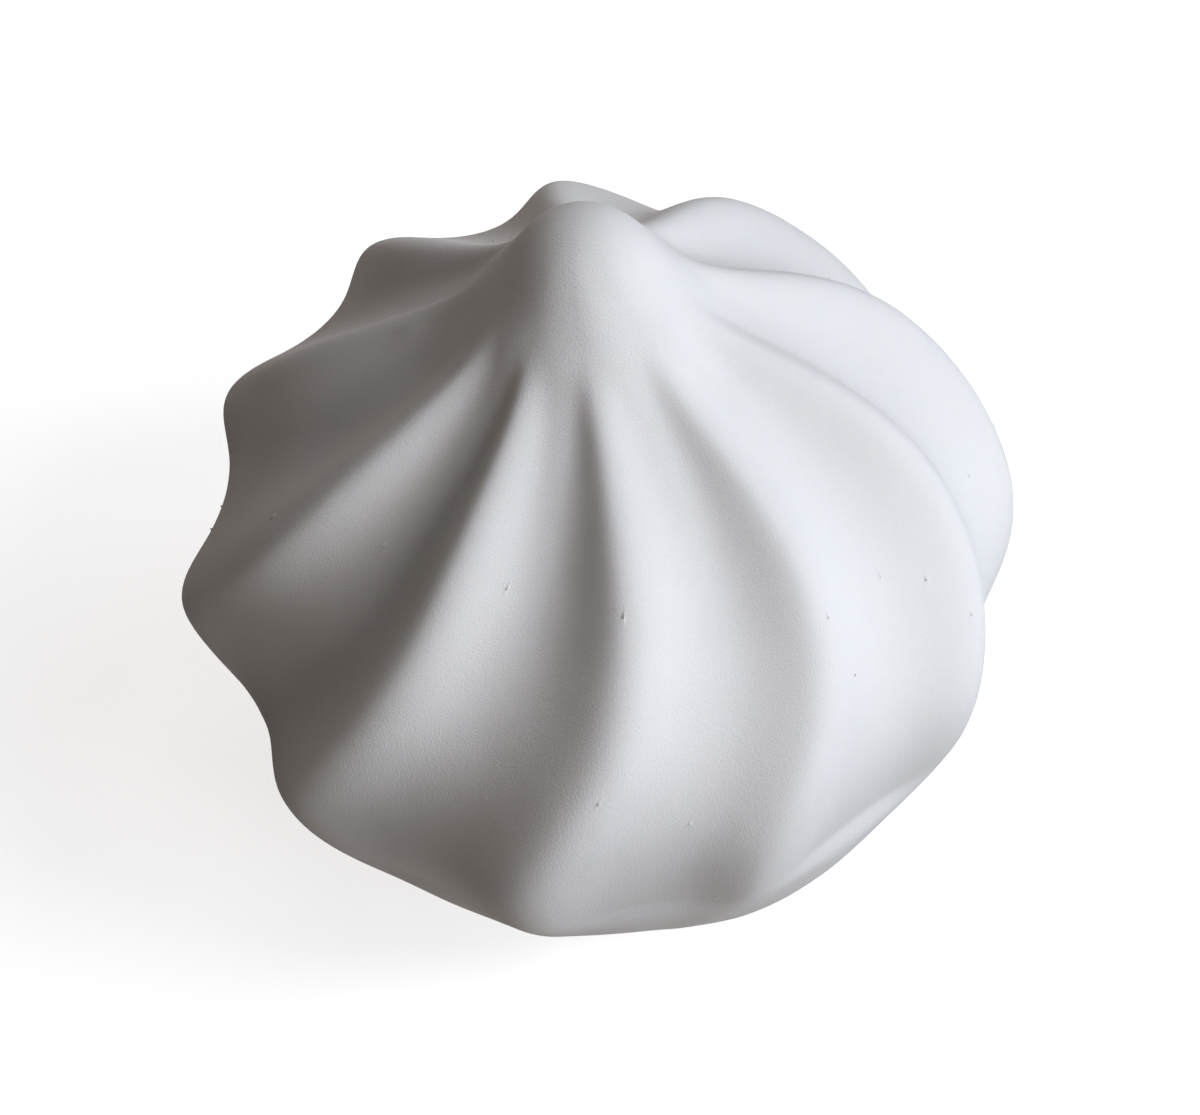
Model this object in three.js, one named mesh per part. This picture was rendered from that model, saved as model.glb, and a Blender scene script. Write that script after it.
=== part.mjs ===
// Meringue kiss: one piped swirl of baked egg white and sugar. Ten rounded ridges wind round a full
// belly, die out at the neck and leave a plain soft nose that leans a little.
// Millimetres, +Z up, origin in the middle of the flat foot that it was baked on.
import * as THREE from "three";

// ---- Driving dimensions ----------------------------------------------------

const HEIGHT = 40.8;
const BELLY_RADIUS = 26.2; // the widest ring, to the ridge crests

// How far the nose hangs off the middle of the foot.
const LEAN_X = -2.5;
const LEAN_Y = 3.6;

// The outline, to the ridge crests. Climb runs from 0 at the foot to 1 at the tip, as a quarter turn
// does: the rings are spread up the side and close in over the top.
const OUTLINE = [
  { climb: 0, radius: 18.8 }, // foot
  { climb: 0.06, radius: 21.2 },
  { climb: 0.14, radius: 24.1 },
  { climb: 0.25, radius: BELLY_RADIUS },
  { climb: 0.4, radius: 23.4 },
  { climb: 0.54, radius: 15.8 }, // shoulder
  { climb: 0.63, radius: 8.9 }, // neck
  { climb: 0.72, radius: 5.4 },
  { climb: 0.82, radius: 3.6 }, // nose
  { climb: 0.92, radius: 1.7 },
  { climb: 1, radius: 0 }, // tip
];

// The wind of the ridges, in degrees: most of it between the belly and the shoulder.
const WIND = [
  { climb: 0, turn: -7 },
  { climb: 0.12, turn: -1 },
  { climb: 0.25, turn: 1 },
  { climb: 0.4, turn: 13 },
  { climb: 0.55, turn: 20 },
  { climb: 0.7, turn: 17 },
  { climb: 1, turn: 0 },
];

// The mean depth of the grooves between the ridges. They are cut deepest at the shoulder.
const GROOVES = [
  { climb: 0, depth: 1.4 },
  { climb: 0.12, depth: 1.4 },
  { climb: 0.25, depth: 2 },
  { climb: 0.4, depth: 2.4 },
  { climb: 0.55, depth: 4 },
  { climb: 1, depth: 4 },
];

// The grooves run out on the neck. These are climbs.
const GROOVE_FADES_FROM = 0.46;
const GROOVE_ENDS_AT = 0.7;

// The crests between the grooves: 1 is a plain wave, and more narrows them. They narrow as the
// grooves run out.
const CREST_SHARPNESS = 1;
const NECK_SHARPNESS = 1.6;

// How far a groove leans over towards the ridge before it, as a share of the ridge.
const SWEPT = 0.25;
const SWEPT_AT_FOOT = 0.65;
const FOOT_ZONE = 0.3; // climb at which the last of the foot's own ways has gone

// The soft mix spread where it met the tray. It fills the grooves out up to the lip, and between the
// front ridges it rolls out further, up to a crease.
const LIP_HEIGHT = 6;
const ROLL_HEIGHT = 9.1;
const ROLL_EDGE = 14; // exponent: more makes the crease above the roll sharper

// A ridge shows all of its own reach at the belly, this share of it at the foot and none at the tip.
const REACH_AT_FOOT = 0.6;

// The first ridge stands this far round from +X, and the rest follow counter-clockwise.
const FIRST_RIDGE_AT = -102;

// How a ridge differs from an even one, seen from above and counter-clockwise:
// turn    degrees that it is off its even place
// reach   share of the radius that its crest stands out (+) or in (-)
// foot    degrees more at the foot, gone by the shoulder
// crown   degrees more at the top, gone by the belly
// groove  depth of the groove after it, against the mean groove
// low     how much deeper still that groove is at the foot, as a share
// lip     how far that groove is filled out again at the very foot: 0 not at all, 1 flush
// roll    millimetres that the mix rolls out of that groove
const EVEN_RIDGE = { turn: 0, reach: 0, foot: 0, crown: 0, groove: 1, low: 0, lip: 0.8, roll: 0 };
const OWN_WAYS = [
  { turn: -3.5, reach: 0.015, foot: 2, crown: -10, groove: 0.9, low: 0.4, lip: 0.5, roll: 0.6 },
  { turn: -3, reach: -0.07, foot: -5, crown: -12, groove: 1.05, low: 0.3, lip: 0.7, roll: 0.9 },
  { turn: -2, reach: -0.085, foot: 3, crown: 1, groove: 1.05, lip: 0.6 },
  { turn: 1, reach: -0.045, crown: 3, groove: 1.4 },
  { turn: 4, reach: -0.01, crown: 2, groove: 0.9 },
  { turn: 2, reach: 0.015, crown: 6, groove: 1.1 },
  { turn: 3, reach: 0.03, crown: 4, groove: 1.1 },
  { turn: 2.5, reach: 0.05, foot: 1, groove: 1.1 },
  { turn: 3, reach: 0.065, foot: -3, crown: 4, groove: 1.3, low: -0.2 },
  { turn: -2.5, reach: 0.055, foot: 6, crown: 1, groove: 1.05, low: -0.3, lip: 0.7, roll: 0.3 },
];
const RIDGES = OWN_WAYS.map((own) => ({ ...EVEN_RIDGE, ...own }));

// Fineness of the faceted skin.
const COLUMNS_PER_RIDGE = 10;
const ROWS = 52;

const BAKED_WHITE = "#f4f3f0";

const { clamp, degToRad, lerp, smoothstep } = THREE.MathUtils;

// ---- Curves ----------------------------------------------------------------

// A natural cubic spline through the stations of a curve: a function from climb to the named value.
function smoothThrough(stations, value) {
  const at = stations.map((station) => station.climb);
  const height = stations.map((station) => station[value]);
  const last = at.length - 1;
  const bend = new Array(last + 1).fill(0); // second derivative at each station
  const carried = new Array(last + 1).fill(0);
  for (let i = 1; i < last; i += 1) {
    const before = at[i] - at[i - 1];
    const after = at[i + 1] - at[i];
    const share = before / (before + after);
    const pivot = share * bend[i - 1] + 2;
    const slopeChange = (height[i + 1] - height[i]) / after - (height[i] - height[i - 1]) / before;
    bend[i] = (share - 1) / pivot;
    carried[i] = ((6 * slopeChange) / (before + after) - share * carried[i - 1]) / pivot;
  }
  for (let i = last - 1; i >= 0; i -= 1) bend[i] = bend[i] * bend[i + 1] + carried[i];

  return (climb) => {
    let i = 1;
    while (i < last && climb > at[i]) i += 1;
    const width = at[i] - at[i - 1];
    const low = (at[i] - climb) / width;
    const high = (climb - at[i - 1]) / width;
    const straight = low * height[i - 1] + high * height[i];
    const curl = (low ** 3 - low) * bend[i - 1] + (high ** 3 - high) * bend[i];
    return straight + (curl * width * width) / 6;
  };
}

const crestRadius = smoothThrough(OUTLINE, "radius");
const wind = smoothThrough(WIND, "turn");
const meanGroove = smoothThrough(GROOVES, "depth");

const heightAt = (climb) => HEIGHT * Math.sin((Math.PI * climb) / 2);

// 1 at the very foot, 0 from the top of the foot's zone on.
const nearFoot = (climb) => clamp(1 - climb / FOOT_ZONE, 0, 1);

// 0 while the grooves are whole, 1 where they have run out.
const runOut = (climb) => smoothstep(climb, GROOVE_FADES_FROM, GROOVE_ENDS_AT);

function reachShown(climb) {
  const wave = Math.sin(Math.PI * climb);
  return climb < 0.5 ? lerp(REACH_AT_FOOT, 1, wave) : wave;
}

// ---- The swirl -------------------------------------------------------------

function crestAngle(number, climb) {
  const ridge = RIDGES[number % RIDGES.length];
  const even = FIRST_RIDGE_AT + (360 / RIDGES.length) * number;
  return even + ridge.turn + wind(climb) + ridge.foot * (1 - climb) ** 3 + ridge.crown * climb ** 3;
}

// How deep the groove after a ridge lies under the crests where it is deepest. Below 0 it bulges.
function grooveDepth(ridge, climb) {
  const height = heightAt(climb);
  const deepened = 1 + ridge.low * nearFoot(climb);
  const filled = ridge.lip * Math.exp(-((height / LIP_HEIGHT) ** 2));
  const rolled = ridge.roll * Math.exp(-((height / ROLL_HEIGHT) ** ROLL_EDGE));
  return meanGroove(climb) * (1 - runOut(climb)) * ridge.groove * deepened * (1 - filled) - rolled;
}

// How much of a crest is left across a groove: 1 on the crests, 0 in the groove.
function crestShare(across, climb) {
  const round = 2 * Math.PI * across;
  const lean = lerp(SWEPT, SWEPT_AT_FOOT, nearFoot(climb)) * Math.sin(round);
  const sharpness = lerp(CREST_SHARPNESS, NECK_SHARPNESS, runOut(climb));
  return ((1 + Math.cos(round + lean)) / 2) ** sharpness;
}

// A point on the skin: across runs from 0 on the ridge's own crest to 1 on the next one.
function skinPoint(number, across, climb) {
  const ridge = RIDGES[number];
  const next = RIDGES[(number + 1) % RIDGES.length];
  const reach = lerp(ridge.reach, next.reach, smoothstep(across, 0, 1)) * reachShown(climb);
  const depth = grooveDepth(ridge, climb) * (1 - crestShare(across, climb));
  const radius = crestRadius(climb) * (1 + reach) - depth;

  const angle = degToRad(lerp(crestAngle(number, climb), crestAngle(number + 1, climb), across));
  const height = heightAt(climb);
  const leaning = (height / HEIGHT) ** 2;
  return new THREE.Vector3(
    radius * Math.cos(angle) + LEAN_X * leaning,
    radius * Math.sin(angle) + LEAN_Y * leaning,
    height,
  );
}

// A turned blank with the right rings and columns, whose side is then carved into the swirl.
function swirlGeometry() {
  const columns = RIDGES.length * COLUMNS_PER_RIDGE;
  const climbs = Array.from({ length: ROWS + 1 }, (_, row) => row / ROWS);
  const middleOfFoot = new THREE.Vector2(0, 0);
  const side = climbs.map((climb) => new THREE.Vector2(crestRadius(climb), heightAt(climb)));
  const blank = new THREE.LatheGeometry([middleOfFoot, ...side], columns);

  const positions = blank.getAttribute("position");
  for (let column = 0; column <= columns; column += 1) {
    const number = Math.floor(column / COLUMNS_PER_RIDGE) % RIDGES.length;
    const across = (column % COLUMNS_PER_RIDGE) / COLUMNS_PER_RIDGE;
    const start = column * (side.length + 1) + 1;
    climbs.forEach((climb, row) => {
      const point = skinPoint(number, across, climb);
      positions.setXYZ(start + row, point.x, point.y, point.z);
    });
  }
  blank.computeVertexNormals();
  return blank;
}

// ---- Scene graph -----------------------------------------------------------

const bakedMeringue = new THREE.MeshStandardMaterial({
  color: BAKED_WHITE,
  roughness: 0.75,
  metalness: 0,
});

const meringue = new THREE.Mesh(swirlGeometry(), bakedMeringue);
meringue.name = "meringue";

const cookie = new THREE.Group();
cookie.add(meringue);

export default cookie;
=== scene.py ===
"""A meringue kiss: one piped swirl of baked egg white and sugar, on a plain studio floor."""

import math
import random

import bmesh
import bpy
from mathutils import Matrix, Vector
from mathutils.kdtree import KDTree


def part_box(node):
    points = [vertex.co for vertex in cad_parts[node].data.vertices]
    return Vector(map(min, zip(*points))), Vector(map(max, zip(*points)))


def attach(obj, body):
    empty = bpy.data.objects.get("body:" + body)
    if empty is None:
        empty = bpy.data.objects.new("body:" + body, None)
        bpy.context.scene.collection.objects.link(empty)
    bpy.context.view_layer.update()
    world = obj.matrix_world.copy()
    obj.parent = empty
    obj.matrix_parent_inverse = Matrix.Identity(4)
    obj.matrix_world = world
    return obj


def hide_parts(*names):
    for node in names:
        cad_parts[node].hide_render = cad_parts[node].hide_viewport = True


bl_info = {
    "name": "Meringue kiss",
    "version": (1, 0, 0),
    "blender": (4, 5, 0),
    "location": "3D View > Sidebar > Meringue",
    "description": "Pipes and bakes one meringue kiss and sets it on a studio floor",
    "category": "Add Mesh",
}

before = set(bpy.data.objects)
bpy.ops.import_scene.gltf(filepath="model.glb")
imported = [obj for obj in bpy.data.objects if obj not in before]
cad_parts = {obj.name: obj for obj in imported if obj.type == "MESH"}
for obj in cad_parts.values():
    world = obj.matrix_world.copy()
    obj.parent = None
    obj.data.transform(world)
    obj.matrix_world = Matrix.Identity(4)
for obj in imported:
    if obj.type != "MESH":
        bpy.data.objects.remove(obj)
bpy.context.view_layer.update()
LOWEST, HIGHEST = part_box("meringue")

MILLIMETRE = 0.001
HEIGHT = HIGHEST.z - LOWEST.z

# ---- The swirl's form ---------------------------------------------------------------------------

# The outline, to the ridge crests, as (climb, radius in millimetres). Climb runs from 0 at the foot
# to 1 at the tip, as a quarter turn does: the rings spread up the side and close in over the top.
OUTLINE = (
    (0.0, 18.8),  # foot
    (0.06, 21.2),
    (0.14, 24.1),
    (0.25, 26.2),  # belly
    (0.4, 23.4),
    (0.54, 15.8),  # shoulder
    (0.63, 8.9),  # neck
    (0.72, 5.4),
    (0.82, 3.6),  # nose
    (0.92, 1.7),
    (1.0, 0.0),  # tip
)

# The wind of the ridges, as (climb, degrees).
WIND = ((0.0, -7), (0.12, -1), (0.25, 1), (0.4, 13), (0.55, 20), (0.7, 17), (1.0, 0))

# The mean depth of the grooves, as (climb, millimetres), and the climbs between which they run out.
GROOVES = ((0.0, 1.4), (0.12, 1.4), (0.25, 2.0), (0.4, 2.4), (0.55, 4.0), (1.0, 4.0))
GROOVE_FADES_FROM = 0.46
GROOVE_ENDS_AT = 0.7

# The crests between the grooves: 1 is a plain wave, and more narrows them.
CREST_SHARPNESS = 1.0
NECK_SHARPNESS = 1.6

# How far a groove leans over towards the ridge before it, as a share of the ridge.
SWEPT = 0.25
SWEPT_AT_FOOT = 0.65
FOOT_ZONE = 0.3  # climb at which the last of the foot's own ways has gone

REACH_AT_FOOT = 0.6  # share of a ridge's own reach that shows at the foot
ROLL_EDGE = 14  # exponent: more makes the crease above the foot's roll sharper

# How a ridge differs from an even one, seen from above and counter-clockwise:
# turn    degrees that it is off its even place
# reach   share of the radius that its crest stands out (+) or in (-)
# foot    degrees more at the foot, gone by the shoulder
# crown   degrees more at the top, gone by the belly
# groove  depth of the groove after it, against the mean groove
# low     how much deeper still that groove is at the foot, as a share
# lip     how far that groove is filled out again at the very foot: 0 not at all, 1 flush
# roll    millimetres that the mix rolls out of that groove
EVEN_RIDGE = dict(turn=0, reach=0, foot=0, crown=0, groove=1, low=0, lip=0.8, roll=0)
OWN_WAYS = (
    dict(turn=-3.5, reach=0.015, foot=2, crown=-10, groove=0.9, low=0.4, lip=0.5, roll=0.6),
    dict(turn=-3, reach=-0.07, foot=-5, crown=-12, groove=1.05, low=0.3, lip=0.7, roll=0.9),
    dict(turn=-2, reach=-0.085, foot=3, crown=1, groove=1.05, lip=0.6),
    dict(turn=1, reach=-0.045, crown=3, groove=1.4),
    dict(turn=4, reach=-0.01, crown=2, groove=0.9),
    dict(turn=2, reach=0.015, crown=6, groove=1.1),
    dict(turn=3, reach=0.03, crown=4, groove=1.1),
    dict(turn=2.5, reach=0.05, foot=1, groove=1.1),
    dict(turn=3, reach=0.065, foot=-3, crown=4, groove=1.3, low=-0.2),
    dict(turn=-2.5, reach=0.055, foot=6, crown=1, groove=1.05, low=-0.3, lip=0.7, roll=0.3),
)
RIDGES = [EVEN_RIDGE | own for own in OWN_WAYS]
RIDGE_STEP = 360 / len(RIDGES)

# The cage that is smoothed into the skin: columns round it, and rings by (first climb, last climb,
# number of rings). The rings are closest at the foot's edge and at the crease above its roll.
COLUMNS_PER_RIDGE = 12
COLUMNS = COLUMNS_PER_RIDGE * len(RIDGES)
RING_GROUPS = ((0.0, 0.015, 2), (0.04, 0.105, 4), (0.118, 0.175, 6), (0.2, 0.97, 25))
FOOT_INSET = 0.7 * MILLIMETRE
SMOOTHING_LEVELS = 2
BEND_LOST = 6  # smoothing takes a sixth of each bend away

# The skin dried a little uneven.
LUMP_SIZE = 5 * MILLIMETRE
LUMP_HEIGHT = 0.08 * MILLIMETRE
FLAT_BELOW = 0.1 * MILLIMETRE  # what is lower lies flat on the floor

# Small bubbles that opened in the skin here and there, all round.
PINHOLE_COUNT = 36
PINHOLE_CLIMBS = (0.1, 0.6)
PINHOLE_SEED = 7
PINHOLE_WALL = 0.05 * MILLIMETRE
PINHOLE_ROUNDING = 2  # steps from one side of a pinhole's corner to the other

# A larger bubble that sank under the skin, as (ridge, across, climb), with across from 0 on the
# ridge's own crest to 1 on the next one.
DIMPLE = (7, 0.1, 0.6)
DIMPLE_RADIUS = 0.7 * MILLIMETRE
DIMPLE_DEPTH = 0.12 * MILLIMETRE


def smooth_through(stations):
    """A natural cubic spline through (place, value) stations, as a function of the place."""
    at = [place for place, _ in stations]
    height = [value for _, value in stations]
    last = len(at) - 1
    bend = [0.0] * (last + 1)
    carried = [0.0] * (last + 1)
    for i in range(1, last):
        before, after = at[i] - at[i - 1], at[i + 1] - at[i]
        share = before / (before + after)
        pivot = share * bend[i - 1] + 2
        slope_change = (height[i + 1] - height[i]) / after - (height[i] - height[i - 1]) / before
        bend[i] = (share - 1) / pivot
        carried[i] = (6 * slope_change / (before + after) - share * carried[i - 1]) / pivot
    for i in range(last - 1, -1, -1):
        bend[i] = bend[i] * bend[i + 1] + carried[i]

    def value_at(place):
        i = next((n for n in range(1, last) if place <= at[n]), last)
        width = at[i] - at[i - 1]
        low, high = (at[i] - place) / width, (place - at[i - 1]) / width
        straight = low * height[i - 1] + high * height[i]
        curl = (low**3 - low) * bend[i - 1] + (high**3 - high) * bend[i]
        return straight + curl * width * width / 6

    return value_at


crest_radius = smooth_through(OUTLINE)
wind = smooth_through(WIND)
mean_groove = smooth_through(GROOVES)


def lerp(start, end, share):
    """The value this share of the way from start to end."""
    return start + (end - start) * share


def smoothstep(value, start, end):
    """0 up to the start and 1 from the end on, with a soft rise between them."""
    share = min(max((value - start) / (end - start), 0.0), 1.0)
    return share * share * (3 - 2 * share)


def near_foot(climb):
    """1 at the very foot, 0 from the top of the foot's zone on."""
    return max(1 - climb / FOOT_ZONE, 0)


def run_out(climb):
    """0 while the grooves are whole, 1 where they have run out."""
    return smoothstep(climb, GROOVE_FADES_FROM, GROOVE_ENDS_AT)


def reach_shown(climb):
    """How much of a ridge's own reach shows: all of it at the belly and none at the tip."""
    wave = math.sin(math.pi * climb)
    return lerp(REACH_AT_FOOT, 1, wave) if climb < 0.5 else wave


# ---- Sizes and colours --------------------------------------------------------------------------


class SwirlSizes(bpy.types.PropertyGroup):
    """What the piped swirl is made from."""

    lean: bpy.props.FloatVectorProperty(
        name="Lean",
        description="How far the nose hangs off the middle of the foot",
        default=(-2.5 * MILLIMETRE, 3.6 * MILLIMETRE),
        size=2,
        subtype="XYZ_LENGTH",
    )
    first_ridge: bpy.props.FloatProperty(
        name="First ridge",
        description="How far round from +X the first ridge stands",
        default=math.radians(-102),
        subtype="ANGLE",
    )
    lip_height: bpy.props.FloatProperty(
        name="Lip height",
        description="How high the mix that spread at the foot fills the grooves out",
        default=6 * MILLIMETRE,
        subtype="DISTANCE",
        unit="LENGTH",
    )
    roll_height: bpy.props.FloatProperty(
        name="Roll height",
        description="How high the mix that spread at the foot bulges out between the front ridges",
        default=9.1 * MILLIMETRE,
        subtype="DISTANCE",
        unit="LENGTH",
    )
    pinhole_radius: bpy.props.FloatProperty(
        name="Pinhole radius",
        description="Radius of the small open bubbles",
        default=0.12 * MILLIMETRE,
        subtype="DISTANCE",
        unit="LENGTH",
    )
    pinhole_depth: bpy.props.FloatProperty(
        name="Pinhole depth",
        description="How deep the small open bubbles are",
        default=0.13 * MILLIMETRE,
        subtype="DISTANCE",
        unit="LENGTH",
    )


class SkinLook(bpy.types.PropertyGroup):
    """The finish of the baked skin."""

    white: bpy.props.FloatVectorProperty(
        name="White",
        description="Colour of most of the skin",
        default=(0.875, 0.866, 0.845),
        subtype="COLOR",
    )
    cream: bpy.props.FloatVectorProperty(
        name="Cream",
        description="Colour of the faint patches that dried a little darker",
        default=(0.845, 0.828, 0.79),
        subtype="COLOR",
    )
    patch_size: bpy.props.FloatProperty(
        name="Patch size",
        description="Size of the faint patches",
        default=7 * MILLIMETRE,
        subtype="DISTANCE",
        unit="LENGTH",
    )
    grain_size: bpy.props.FloatProperty(
        name="Grain size",
        description="Size of the powdery grain",
        default=0.12 * MILLIMETRE,
        subtype="DISTANCE",
        unit="LENGTH",
    )
    grain_height: bpy.props.FloatProperty(
        name="Grain height",
        description="Height of the powdery grain",
        default=0.028 * MILLIMETRE,
        subtype="DISTANCE",
        unit="LENGTH",
    )
    pore_spacing: bpy.props.FloatProperty(
        name="Pore spacing",
        description="How far apart the fine pores lie",
        default=1.3 * MILLIMETRE,
        subtype="DISTANCE",
        unit="LENGTH",
    )
    roughness: bpy.props.FloatProperty(
        name="Roughness",
        description="Mean roughness of the skin",
        default=0.8,
        min=0,
        max=1,
        subtype="FACTOR",
    )


class StageLook(bpy.types.PropertyGroup):
    """The studio round the meringue."""

    paper: bpy.props.FloatVectorProperty(
        name="Paper",
        description="Colour of the studio paper",
        default=(0.8, 0.8, 0.8),
        subtype="COLOR",
    )
    glow: bpy.props.FloatProperty(
        name="Glow",
        description="How much the studio paper shines by itself",
        default=0.72,
        min=0,
        max=2,
    )


# ---- Modelling helpers --------------------------------------------------------------------------


def deselect_all():
    """Leaves nothing selected."""
    bpy.ops.object.select_all(action="DESELECT")


def pick(chosen, points):
    """Leaves only the chosen points selected, of these points."""
    for point in points:
        point.select = point in chosen


def point_above(point, new_points):
    """The point of a freshly extruded ring that was drawn out of this one."""
    return next(edge.other_vert(point) for edge in point.link_edges if edge.other_vert(point) in new_points)


def draw_out(mesh, ring):
    """Extrudes a ring of points, and gives the new points in the same order."""
    pick(ring, mesh.verts)
    mesh.select_flush(True)
    bpy.ops.mesh.extrude_edges_move()
    drawn_out = {point for point in mesh.verts if point.select}
    return [point_above(point, drawn_out) for point in ring]


def nearest(places, spots):
    """The number of the spot nearest to each place."""
    tree = KDTree(len(spots))
    for number, spot in enumerate(spots):
        tree.insert(spot, number)
    tree.balance()
    return [tree.find(place)[1] for place in places]


def choose(piece, kind, numbers):
    """Opens a piece for editing with only these of its faces or points selected."""
    bpy.ops.object.mode_set(mode="EDIT")
    bpy.ops.mesh.select_mode(type=kind)
    bpy.ops.mesh.select_all(action="DESELECT")
    bpy.ops.object.mode_set(mode="OBJECT")
    parts = piece.data.polygons if kind == "FACE" else piece.data.vertices
    for number in numbers:
        parts[number].select = True
    bpy.ops.object.mode_set(mode="EDIT")


# ---- Finishes -----------------------------------------------------------------------------------


class Value:
    """A socket whose number varies over a surface. Arithmetic on it adds Math nodes."""

    def __init__(self, finish, socket):
        self.finish = finish
        self.socket = socket

    def maths(self, operation, first, second):
        return self.finish.node("ShaderNodeMath", {"operation": operation}, {0: first, 1: second})

    def __add__(self, other):
        return self.maths("ADD", self, other)

    def __sub__(self, other):
        return self.maths("SUBTRACT", self, other)

    def __rsub__(self, other):
        return self.maths("SUBTRACT", other, self)

    def __mul__(self, other):
        return self.maths("MULTIPLY", self, other)

    __radd__ = __add__
    __rmul__ = __mul__


# The numbers of a Mix node's colour sockets, as its sockets share their names.
MIX_SHARE, MIX_FIRST, MIX_SECOND = 0, 6, 7
MIX_RESULT = 2


class Finish:
    """A material and the nodes that make it."""

    def __init__(self, name):
        self.material = bpy.data.materials.new(name)
        self.material.use_nodes = True
        self.tree = self.material.node_tree
        self.shader = self.tree.nodes["Principled BSDF"]

    def node(self, kind, settings, sockets, output=0):
        """Adds a node: its settings first, then the values or links of its sockets."""
        node = self.tree.nodes.new(kind)
        for setting, value in settings.items():
            setattr(node, setting, value)
        self.set(node, sockets)
        return Value(self, node.outputs[output])

    def set(self, node, sockets):
        """Links or fills these sockets of a node."""
        for socket, value in sockets.items():
            if isinstance(value, Value):
                self.tree.links.new(value.socket, node.inputs[socket])
            else:
                node.inputs[socket].default_value = value

    def noise(self, place, size, detail):
        """Soft noise about 0.5, with lumps of this size."""
        sockets = {"Vector": place, "Scale": 1 / size, "Detail": detail}
        return self.node("ShaderNodeTexNoise", {}, sockets)

    def step_down(self, value, end):
        """1 where the value is 0, and 0 from the end on, with soft shoulders."""
        settings = {"interpolation_type": "SMOOTHSTEP"}
        sockets = {"Value": value, "From Min": 0.0, "From Max": end, "To Min": 1.0, "To Max": 0.0}
        return self.node("ShaderNodeMapRange", settings, sockets)

    def blend(self, share, first, second):
        """A colour between two others."""
        sockets = {MIX_SHARE: share, MIX_FIRST: (*first, 1), MIX_SECOND: (*second, 1)}
        return self.node("ShaderNodeMix", {"data_type": "RGBA"}, sockets, MIX_RESULT)


PORE_RADIUS = 0.05  # share of the pore spacing
PORE_DEPTH = 1  # times the grain height
FINE_LUMPS = 3  # octaves

# How much cream the patches and the grain bring, how much painted shade darkens the pores, and what is held
# back from their sum.
PATCH_CREAM = 0.9
GRAIN_CREAM = 0.3
PORE_PAINTED_SHADE = 0.8
CREAM_HELD_BACK = 0.1

ROUGHNESS_SPREAD = 0.16
MEAN_NOISE = 0.5
SUBSURFACE = {"Subsurface Weight": 0.12, "Subsurface Radius": (1.0, 0.8, 0.6), "Subsurface Scale": 0.0006}


def baked_meringue(look):
    """Chalky white with faint cream patches, a powdery grain, and fine pores darkened by painted shade."""
    finish = Finish("baked_meringue")
    place = finish.node("ShaderNodeTexCoord", {}, {}, "Object")
    patches = finish.noise(place, look.patch_size, FINE_LUMPS)
    grain = finish.noise(place, look.grain_size, FINE_LUMPS)
    to_pore = finish.node("ShaderNodeTexVoronoi", {}, {"Vector": place, "Scale": 1 / look.pore_spacing})
    pores = finish.step_down(to_pore, PORE_RADIUS)
    height = (grain - PORE_DEPTH * pores) * look.grain_height
    bump = finish.node("ShaderNodeBump", {}, {"Height": height, "Distance": 1.0})
    # The pores' share is painted shade in the pits; the patches and the grain add cream at random.
    cream_and_painted_pore_shade = patches * PATCH_CREAM + grain * GRAIN_CREAM + pores * PORE_PAINTED_SHADE - CREAM_HELD_BACK
    sockets = {
        "Base Color": finish.blend(cream_and_painted_pore_shade, look.white, look.cream),
        "Roughness": look.roughness + ROUGHNESS_SPREAD * (patches - MEAN_NOISE),
        "Normal": bump,
        **SUBSURFACE,
    }
    finish.set(finish.shader, sockets)
    return finish.material


# ---- The meringue -------------------------------------------------------------------------------


class Swirl:
    """The places on the skin of a piped swirl, in metres."""

    def __init__(self, sizes):
        self.sizes = sizes

    def crest_angle(self, number, climb):
        """In degrees, round from +X."""
        ridge = RIDGES[number % len(RIDGES)]
        even = math.degrees(self.sizes.first_ridge) + RIDGE_STEP * number
        own = ridge["turn"] + ridge["foot"] * (1 - climb) ** 3 + ridge["crown"] * climb**3
        return even + own + wind(climb)

    def groove_depth(self, ridge, climb, height):
        """How deep the groove after a ridge lies where it is deepest, or less than 0 where it bulges."""
        carved = mean_groove(climb) * (1 - run_out(climb)) * ridge["groove"]
        deepened = 1 + ridge["low"] * near_foot(climb)
        filled = ridge["lip"] * math.exp(-((height / self.sizes.lip_height) ** 2))
        rolled = ridge["roll"] * math.exp(-((height / self.sizes.roll_height) ** ROLL_EDGE))
        return (carved * deepened * (1 - filled) - rolled) * MILLIMETRE

    def crest_share(self, across, climb):
        """How much of a crest is left across a groove: 1 on the crests, 0 in the groove."""
        turn = 2 * math.pi * across
        lean = lerp(SWEPT, SWEPT_AT_FOOT, near_foot(climb)) * math.sin(turn)
        sharpness = lerp(CREST_SHARPNESS, NECK_SHARPNESS, run_out(climb))
        return ((1 + math.cos(turn + lean)) / 2) ** sharpness

    def place(self, number, across, climb):
        """A point on the skin: across runs from 0 on the ridge's own crest to 1 on the next one."""
        ridge, after = RIDGES[number], RIDGES[(number + 1) % len(RIDGES)]
        height = HEIGHT * math.sin(math.pi * climb / 2)
        reach = lerp(ridge["reach"], after["reach"], smoothstep(across, 0, 1)) * reach_shown(climb)
        depth = self.groove_depth(ridge, climb, height) * (1 - self.crest_share(across, climb))
        radius = crest_radius(climb) * MILLIMETRE * (1 + reach) - depth

        start, end = self.crest_angle(number, climb), self.crest_angle(number + 1, climb)
        angle = math.radians(lerp(start, end, across))
        leaning = (height / HEIGHT) ** 2
        lean_x, lean_y = self.sizes.lean
        return Vector(
            (
                radius * math.cos(angle) + lean_x * leaning,
                radius * math.sin(angle) + lean_y * leaning,
                height,
            )
        )

    def ring(self, climb):
        """The points of one ring, counter-clockwise from the first ridge's crest."""
        steps = range(COLUMNS_PER_RIDGE)
        return [self.place(n, step / COLUMNS_PER_RIDGE, climb) for n in range(len(RIDGES)) for step in steps]


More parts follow.
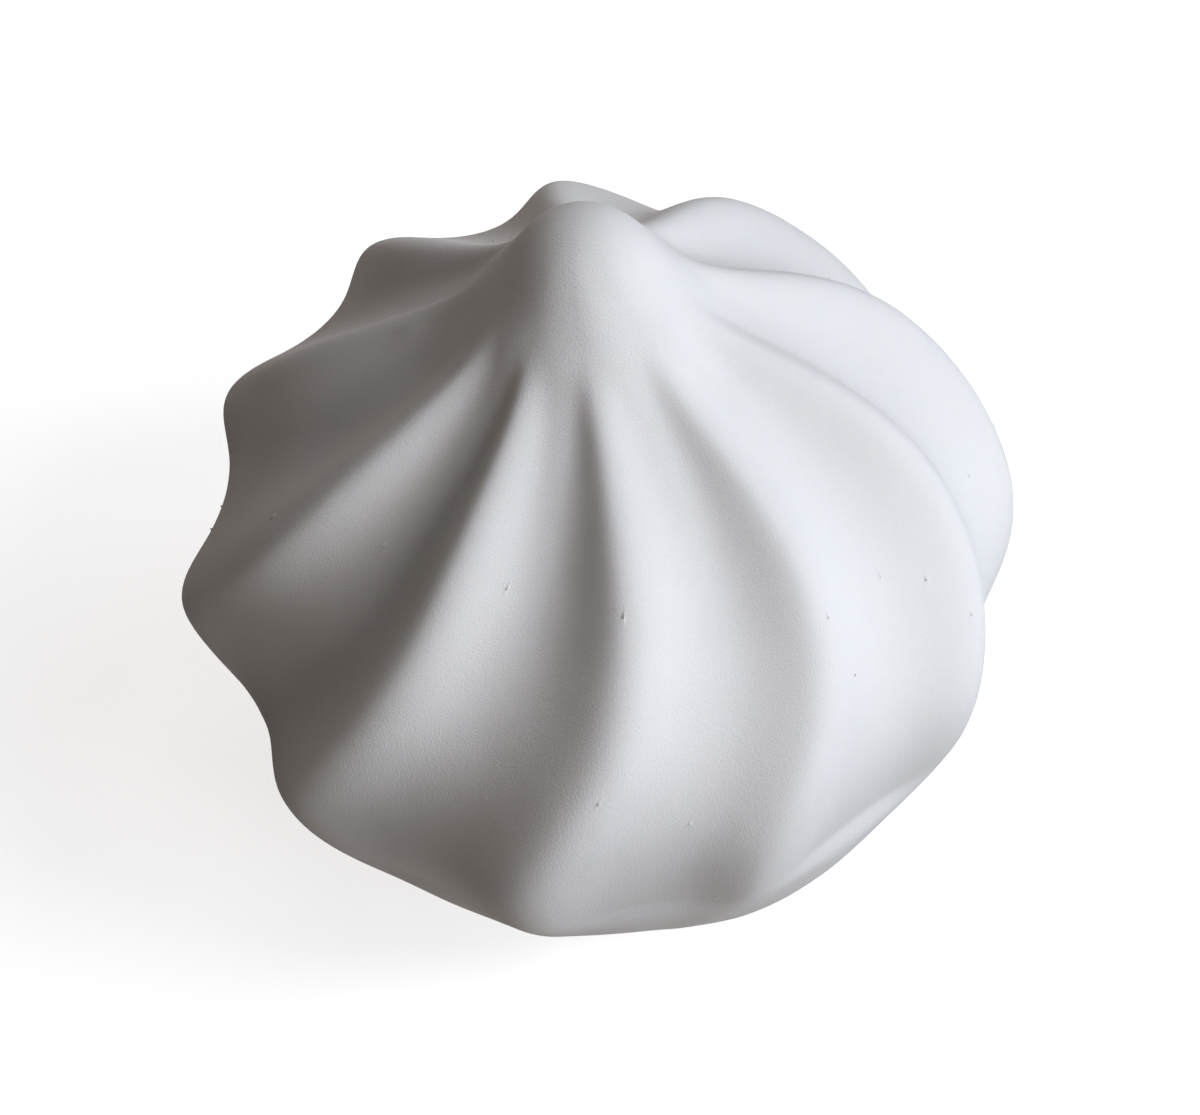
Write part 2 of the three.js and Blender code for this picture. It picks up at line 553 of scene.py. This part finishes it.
def proud_of(rings):
    """The cage for these rings. It stands proud of them at each bend, by what smoothing takes away."""
    cage = []
    for row, ring in enumerate(rings):
        below, above = rings[max(row - 1, 0)], rings[min(row + 1, len(rings) - 1)]
        inner = 0 < row < len(rings) - 1
        places = []
        for n, point in enumerate(ring):
            bend = ring[n - 1] + ring[(n + 1) % len(ring)] - 2 * point
            if inner:
                bend += below[n] + above[n] - 2 * point
            places.append(point - bend / BEND_LOST)
        cage.append(places)
    return cage


def pick_foot(mesh):
    """Leaves only the foot's face selected."""
    bpy.ops.mesh.select_mode(type="FACE")
    foot = min(mesh.faces, key=lambda face: face.calc_center_median().z)
    pick((foot,), mesh.faces)


def ring_climbs():
    """The climbs of the cage's rings, from the foot up."""
    return [lerp(low, high, n / (rings - 1)) for low, high, rings in RING_GROUPS for n in range(rings)]


def pipe_swirl(swirl):
    """A round foot, drawn up ring by ring, each point of a ring moved out to its ridge or groove."""
    rings = proud_of([swirl.ring(climb) for climb in ring_climbs()])

    deselect_all()
    bpy.ops.mesh.primitive_circle_add(vertices=COLUMNS, radius=rings[0][0].xy.length, fill_type="NGON")
    piece = bpy.context.object
    piece.name = piece.data.name = "meringue_kiss"
    bpy.ops.object.mode_set(mode="EDIT")
    bpy.ops.mesh.select_mode(type="VERT")
    mesh = bmesh.from_edit_mesh(piece.data)
    ring = sorted(mesh.verts, key=lambda point: math.atan2(point.co.y, point.co.x) % (2 * math.pi))

    for row, places in enumerate(rings):
        if row:
            ring = draw_out(mesh, ring)
        for point, place in zip(ring, places):
            pick((point,), ring)
            bpy.ops.transform.translate(value=place - point.co)

    draw_out(mesh, ring)
    bpy.ops.mesh.merge(type="CENTER")
    top = next(point for point in mesh.verts if point.select)
    bpy.ops.transform.translate(value=swirl.place(0, 0, 1) - top.co)

    pick_foot(mesh)
    bpy.ops.mesh.inset(thickness=FOOT_INSET)

    bpy.ops.object.mode_set(mode="OBJECT")
    return piece


def smooth_skin(piece):
    """Rounds the cage off into a soft skin, and lets it dry a little uneven."""
    smoothing = piece.modifiers.new("Smoothing", "SUBSURF")
    smoothing.levels = smoothing.render_levels = SMOOTHING_LEVELS
    bpy.ops.object.modifier_apply(modifier=smoothing.name)

    lumps = bpy.data.textures.new("drying lumps", "CLOUDS")
    lumps.noise_scale = LUMP_SIZE
    drying = piece.modifiers.new("Drying", "DISPLACE")
    drying.texture = lumps
    drying.texture_coords = "LOCAL"
    drying.strength = LUMP_HEIGHT
    bpy.ops.object.modifier_apply(modifier=drying.name)
    bpy.data.textures.remove(lumps)

    choose(piece, "VERT", [point.index for point in piece.data.vertices if point.co.z < FLAT_BELOW])
    bpy.ops.transform.resize(value=(1, 1, 0), center_override=(0, 0, 0))
    bpy.ops.object.mode_set(mode="OBJECT")
    bpy.ops.object.shade_smooth()


def open_pinholes(piece, swirl):
    """Rounds single points of the skin off and sinks them, where small bubbles opened."""
    draw = random.Random(PINHOLE_SEED)
    last_ridge = len(RIDGES) - 1
    places = [
        swirl.place(draw.randint(0, last_ridge), draw.random(), draw.uniform(*PINHOLE_CLIMBS))
        for _ in range(PINHOLE_COUNT)
    ]
    choose(piece, "VERT", nearest(places, [point.co for point in piece.data.vertices]))
    bpy.ops.mesh.bevel(affect="VERTICES", offset=swirl.sizes.pinhole_radius, segments=PINHOLE_ROUNDING)
    bpy.ops.mesh.select_mode(type="FACE")
    bpy.ops.mesh.inset(thickness=PINHOLE_WALL, depth=-swirl.sizes.pinhole_depth)
    bpy.ops.object.mode_set(mode="OBJECT")


def press_dimple(piece, swirl):
    """Presses the skin in softly over the bubble that sank."""
    number = nearest([swirl.place(*DIMPLE)], [point.co for point in piece.data.vertices])[0]
    inwards = -piece.data.vertices[number].normal
    choose(piece, "VERT", [number])
    bpy.ops.transform.translate(
        value=inwards * DIMPLE_DEPTH,
        use_proportional_edit=True,
        proportional_edit_falloff="SPHERE",
        proportional_size=DIMPLE_RADIUS,
    )
    bpy.ops.object.mode_set(mode="OBJECT")


class MERINGUE_OT_pipe(bpy.types.Operator):
    """Pipes the swirl, smooths its skin and bakes it"""

    bl_idname = "meringue.pipe"
    bl_label = "Pipe the Meringue"
    bl_options = {"REGISTER", "UNDO"}

    def execute(self, context):
        swirl = Swirl(context.scene.swirl_sizes)
        piece = pipe_swirl(swirl)
        smooth_skin(piece)
        press_dimple(piece, swirl)
        open_pinholes(piece, swirl)
        piece.data.materials.append(baked_meringue(context.scene.skin_look))
        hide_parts("meringue")
        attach(piece, "root")
        return {"FINISHED"}


# ---- The stage ----------------------------------------------------------------------------------

SENSOR_WIDTH = 36.0  # mm
FOCAL_LENGTH = 77.55  # mm
CAMERA_DISTANCE = 163.3 * MILLIMETRE
CAMERA_ELEVATION = math.radians(50)
CAMERA_ROLL = math.radians(-1.21)
PICTURE_WIDTH = 1200  # pixels
PIXELS_ASIDE = -31  # how far the aim lies off the middle of the picture
CAMERA_SHIFT = (PIXELS_ASIDE / PICTURE_WIDTH, 0.0)
CLOSEST_SEEN = 10 * MILLIMETRE
AIM = Vector((0, 0, 15.4 * MILLIMETRE))

# The studio paper: a round floor that turns up all round in a soft cove, in metres.
PAPER_ROUGHNESS = 0.95
FLOOR_RADIUS = 1.0
COVE_RADIUS = 0.4
COVE_STEPS = 8
WALL_HEIGHT = 1.2
PAPER_SIDES = 96

# Soft boxes, all of one size and one distance in metres, by where they stand round the meringue:
# azimuth counter-clockwise from +X and elevation in degrees, power in watts, and colour. The three
# that bounce stand under the paper, which lets their light through and so seems to throw it back.
LIGHT_DISTANCE = 0.6
LIGHT_SIZE = (0.26, 0.3)
KEY_COLOUR = (0.85, 0.9, 1)
FILL_COLOUR = (1, 0.9, 0.85)
SOFT_BOXES = (
    {"name": "key", "azimuth": -35, "elevation": 10, "power": 1.5, "colour": KEY_COLOUR},
    {"name": "key_high", "azimuth": -10, "elevation": 35, "power": 2, "colour": KEY_COLOUR},
    {"name": "side", "azimuth": 30, "elevation": 35, "power": 0.7, "colour": KEY_COLOUR},
    {"name": "front", "azimuth": -90, "elevation": 10, "power": 0.5, "colour": FILL_COLOUR},
    {"name": "top", "azimuth": 0, "elevation": 88, "power": 0.3, "colour": FILL_COLOUR},
    {"name": "back", "azimuth": 120, "elevation": 10, "power": 0.5, "colour": FILL_COLOUR},
    {"name": "bounce", "azimuth": 0, "elevation": -88, "power": 0.5, "colour": FILL_COLOUR},
    {"name": "bounce_back", "azimuth": 90, "elevation": -30, "power": 0.5, "colour": FILL_COLOUR},
    {"name": "bounce_left", "azimuth": 180, "elevation": -30, "power": 0.2, "colour": FILL_COLOUR},
)


def add_camera():
    """Sets the camera in front of the meringue, looking down at it."""
    deselect_all()
    back = Vector((0, -math.cos(CAMERA_ELEVATION), math.sin(CAMERA_ELEVATION)))
    tilt = Matrix.Rotation(math.radians(90) - CAMERA_ELEVATION, 3, "X")
    turned = tilt @ Matrix.Rotation(CAMERA_ROLL, 3, "Z")
    bpy.ops.object.camera_add(location=AIM + back * CAMERA_DISTANCE, rotation=turned.to_euler())
    camera = bpy.context.object
    camera.name = "camera"
    camera.data.sensor_width = SENSOR_WIDTH
    camera.data.lens = FOCAL_LENGTH
    camera.data.shift_x, camera.data.shift_y = CAMERA_SHIFT
    camera.data.clip_start = CLOSEST_SEEN
    bpy.context.scene.camera = camera


def studio_paper(look):
    """Matt pale paper that shines a little by itself."""
    finish = Finish("studio_paper")
    sockets = {
        "Base Color": (*look.paper, 1),
        "Roughness": PAPER_ROUGHNESS,
        "Specular IOR Level": 0.0,
        "Emission Color": (1, 1, 1, 1),
        "Emission Strength": look.glow,
    }
    finish.set(finish.shader, sockets)
    return finish.material


def add_paper(look):
    """A disc, whose rim is drawn out and up step by step into a cove and a wall."""
    deselect_all()
    bpy.ops.mesh.primitive_circle_add(vertices=PAPER_SIDES, radius=FLOOR_RADIUS, fill_type="NGON")
    paper = bpy.context.object
    paper.name = paper.data.name = "studio_paper"
    bpy.ops.object.mode_set(mode="EDIT")
    bpy.ops.mesh.select_mode(type="VERT")
    bpy.ops.mesh.select_all(action="SELECT")
    radius, height = FLOOR_RADIUS, 0.0
    turns = [math.pi / 2 * step / COVE_STEPS for step in range(1, COVE_STEPS + 1)]
    cove = [
        (FLOOR_RADIUS + COVE_RADIUS * math.sin(turn), COVE_RADIUS * (1 - math.cos(turn))) for turn in turns
    ]
    for next_radius, next_height in (*cove, (FLOOR_RADIUS + COVE_RADIUS, WALL_HEIGHT)):
        bpy.ops.mesh.extrude_edges_move()
        wider = next_radius / radius
        bpy.ops.transform.resize(value=(wider, wider, 1), center_override=(0, 0, height))
        bpy.ops.transform.translate(value=(0, 0, next_height - height))
        radius, height = next_radius, next_height
    bpy.ops.object.mode_set(mode="OBJECT")
    bpy.ops.object.shade_smooth()
    paper.data.materials.append(studio_paper(look))
    paper.visible_diffuse = False
    paper.visible_glossy = False
    paper.visible_shadow = False


def add_soft_box(name, azimuth, elevation, power, colour):
    """Stands one lamp round the meringue, turned towards it."""
    azimuth, elevation = math.radians(azimuth), math.radians(elevation)
    level = math.cos(elevation)
    away = Vector((level * math.cos(azimuth), level * math.sin(azimuth), math.sin(elevation)))
    bpy.ops.object.light_add(type="AREA", location=AIM + away * LIGHT_DISTANCE)
    box = bpy.context.object
    box.name = box.data.name = name
    box.data.shape = "RECTANGLE"
    box.data.size, box.data.size_y = LIGHT_SIZE
    box.data.energy = power
    box.data.color = colour
    box.rotation_euler = away.to_track_quat("Z", "Y").to_euler()
    box.visible_camera = False


def add_lights():
    """Stands all the lamps, in a world that gives no light."""
    deselect_all()
    for soft_box in SOFT_BOXES:
        add_soft_box(**soft_box)
    world = bpy.data.worlds.new("studio")
    world.use_nodes = True
    world.node_tree.nodes["Background"].inputs["Strength"].default_value = 0
    bpy.context.scene.world = world


class MERINGUE_OT_stage(bpy.types.Operator):
    """Lays the studio paper, and sets the lights and the camera"""

    bl_idname = "meringue.stage"
    bl_label = "Set the Stage"
    bl_options = {"REGISTER", "UNDO"}

    def execute(self, context):
        add_paper(context.scene.stage_look)
        add_lights()
        add_camera()
        context.scene.view_settings.view_transform = "Standard"
        return {"FINISHED"}


# ---- The panel and the run ----------------------------------------------------------------------


class MERINGUE_PT_panel(bpy.types.Panel):
    """The meringue's operators and sizes"""

    bl_idname = "MERINGUE_PT_panel"
    bl_label = "Meringue"
    bl_space_type = "VIEW_3D"
    bl_region_type = "UI"
    bl_category = "Meringue"

    def draw(self, context):
        for group in SETTINGS:
            values = getattr(context.scene, group)
            box = self.layout.box()
            for name in values.__annotations__:
                box.prop(values, name)
        for operator in (MERINGUE_OT_pipe, MERINGUE_OT_stage):
            self.layout.operator(operator.bl_idname)


SETTINGS = {"swirl_sizes": SwirlSizes, "skin_look": SkinLook, "stage_look": StageLook}
CLASSES = (*SETTINGS.values(), MERINGUE_OT_pipe, MERINGUE_OT_stage, MERINGUE_PT_panel)


def register():
    for cls in CLASSES:
        bpy.utils.register_class(cls)
    for name, cls in SETTINGS.items():
        setattr(bpy.types.Scene, name, bpy.props.PointerProperty(type=cls))


def unregister():
    for name in SETTINGS:
        delattr(bpy.types.Scene, name)
    for cls in reversed(CLASSES):
        bpy.utils.unregister_class(cls)


def main():
    register()
    bpy.ops.meringue.pipe()
    bpy.ops.meringue.stage()


if __name__ == "__main__":
    main()
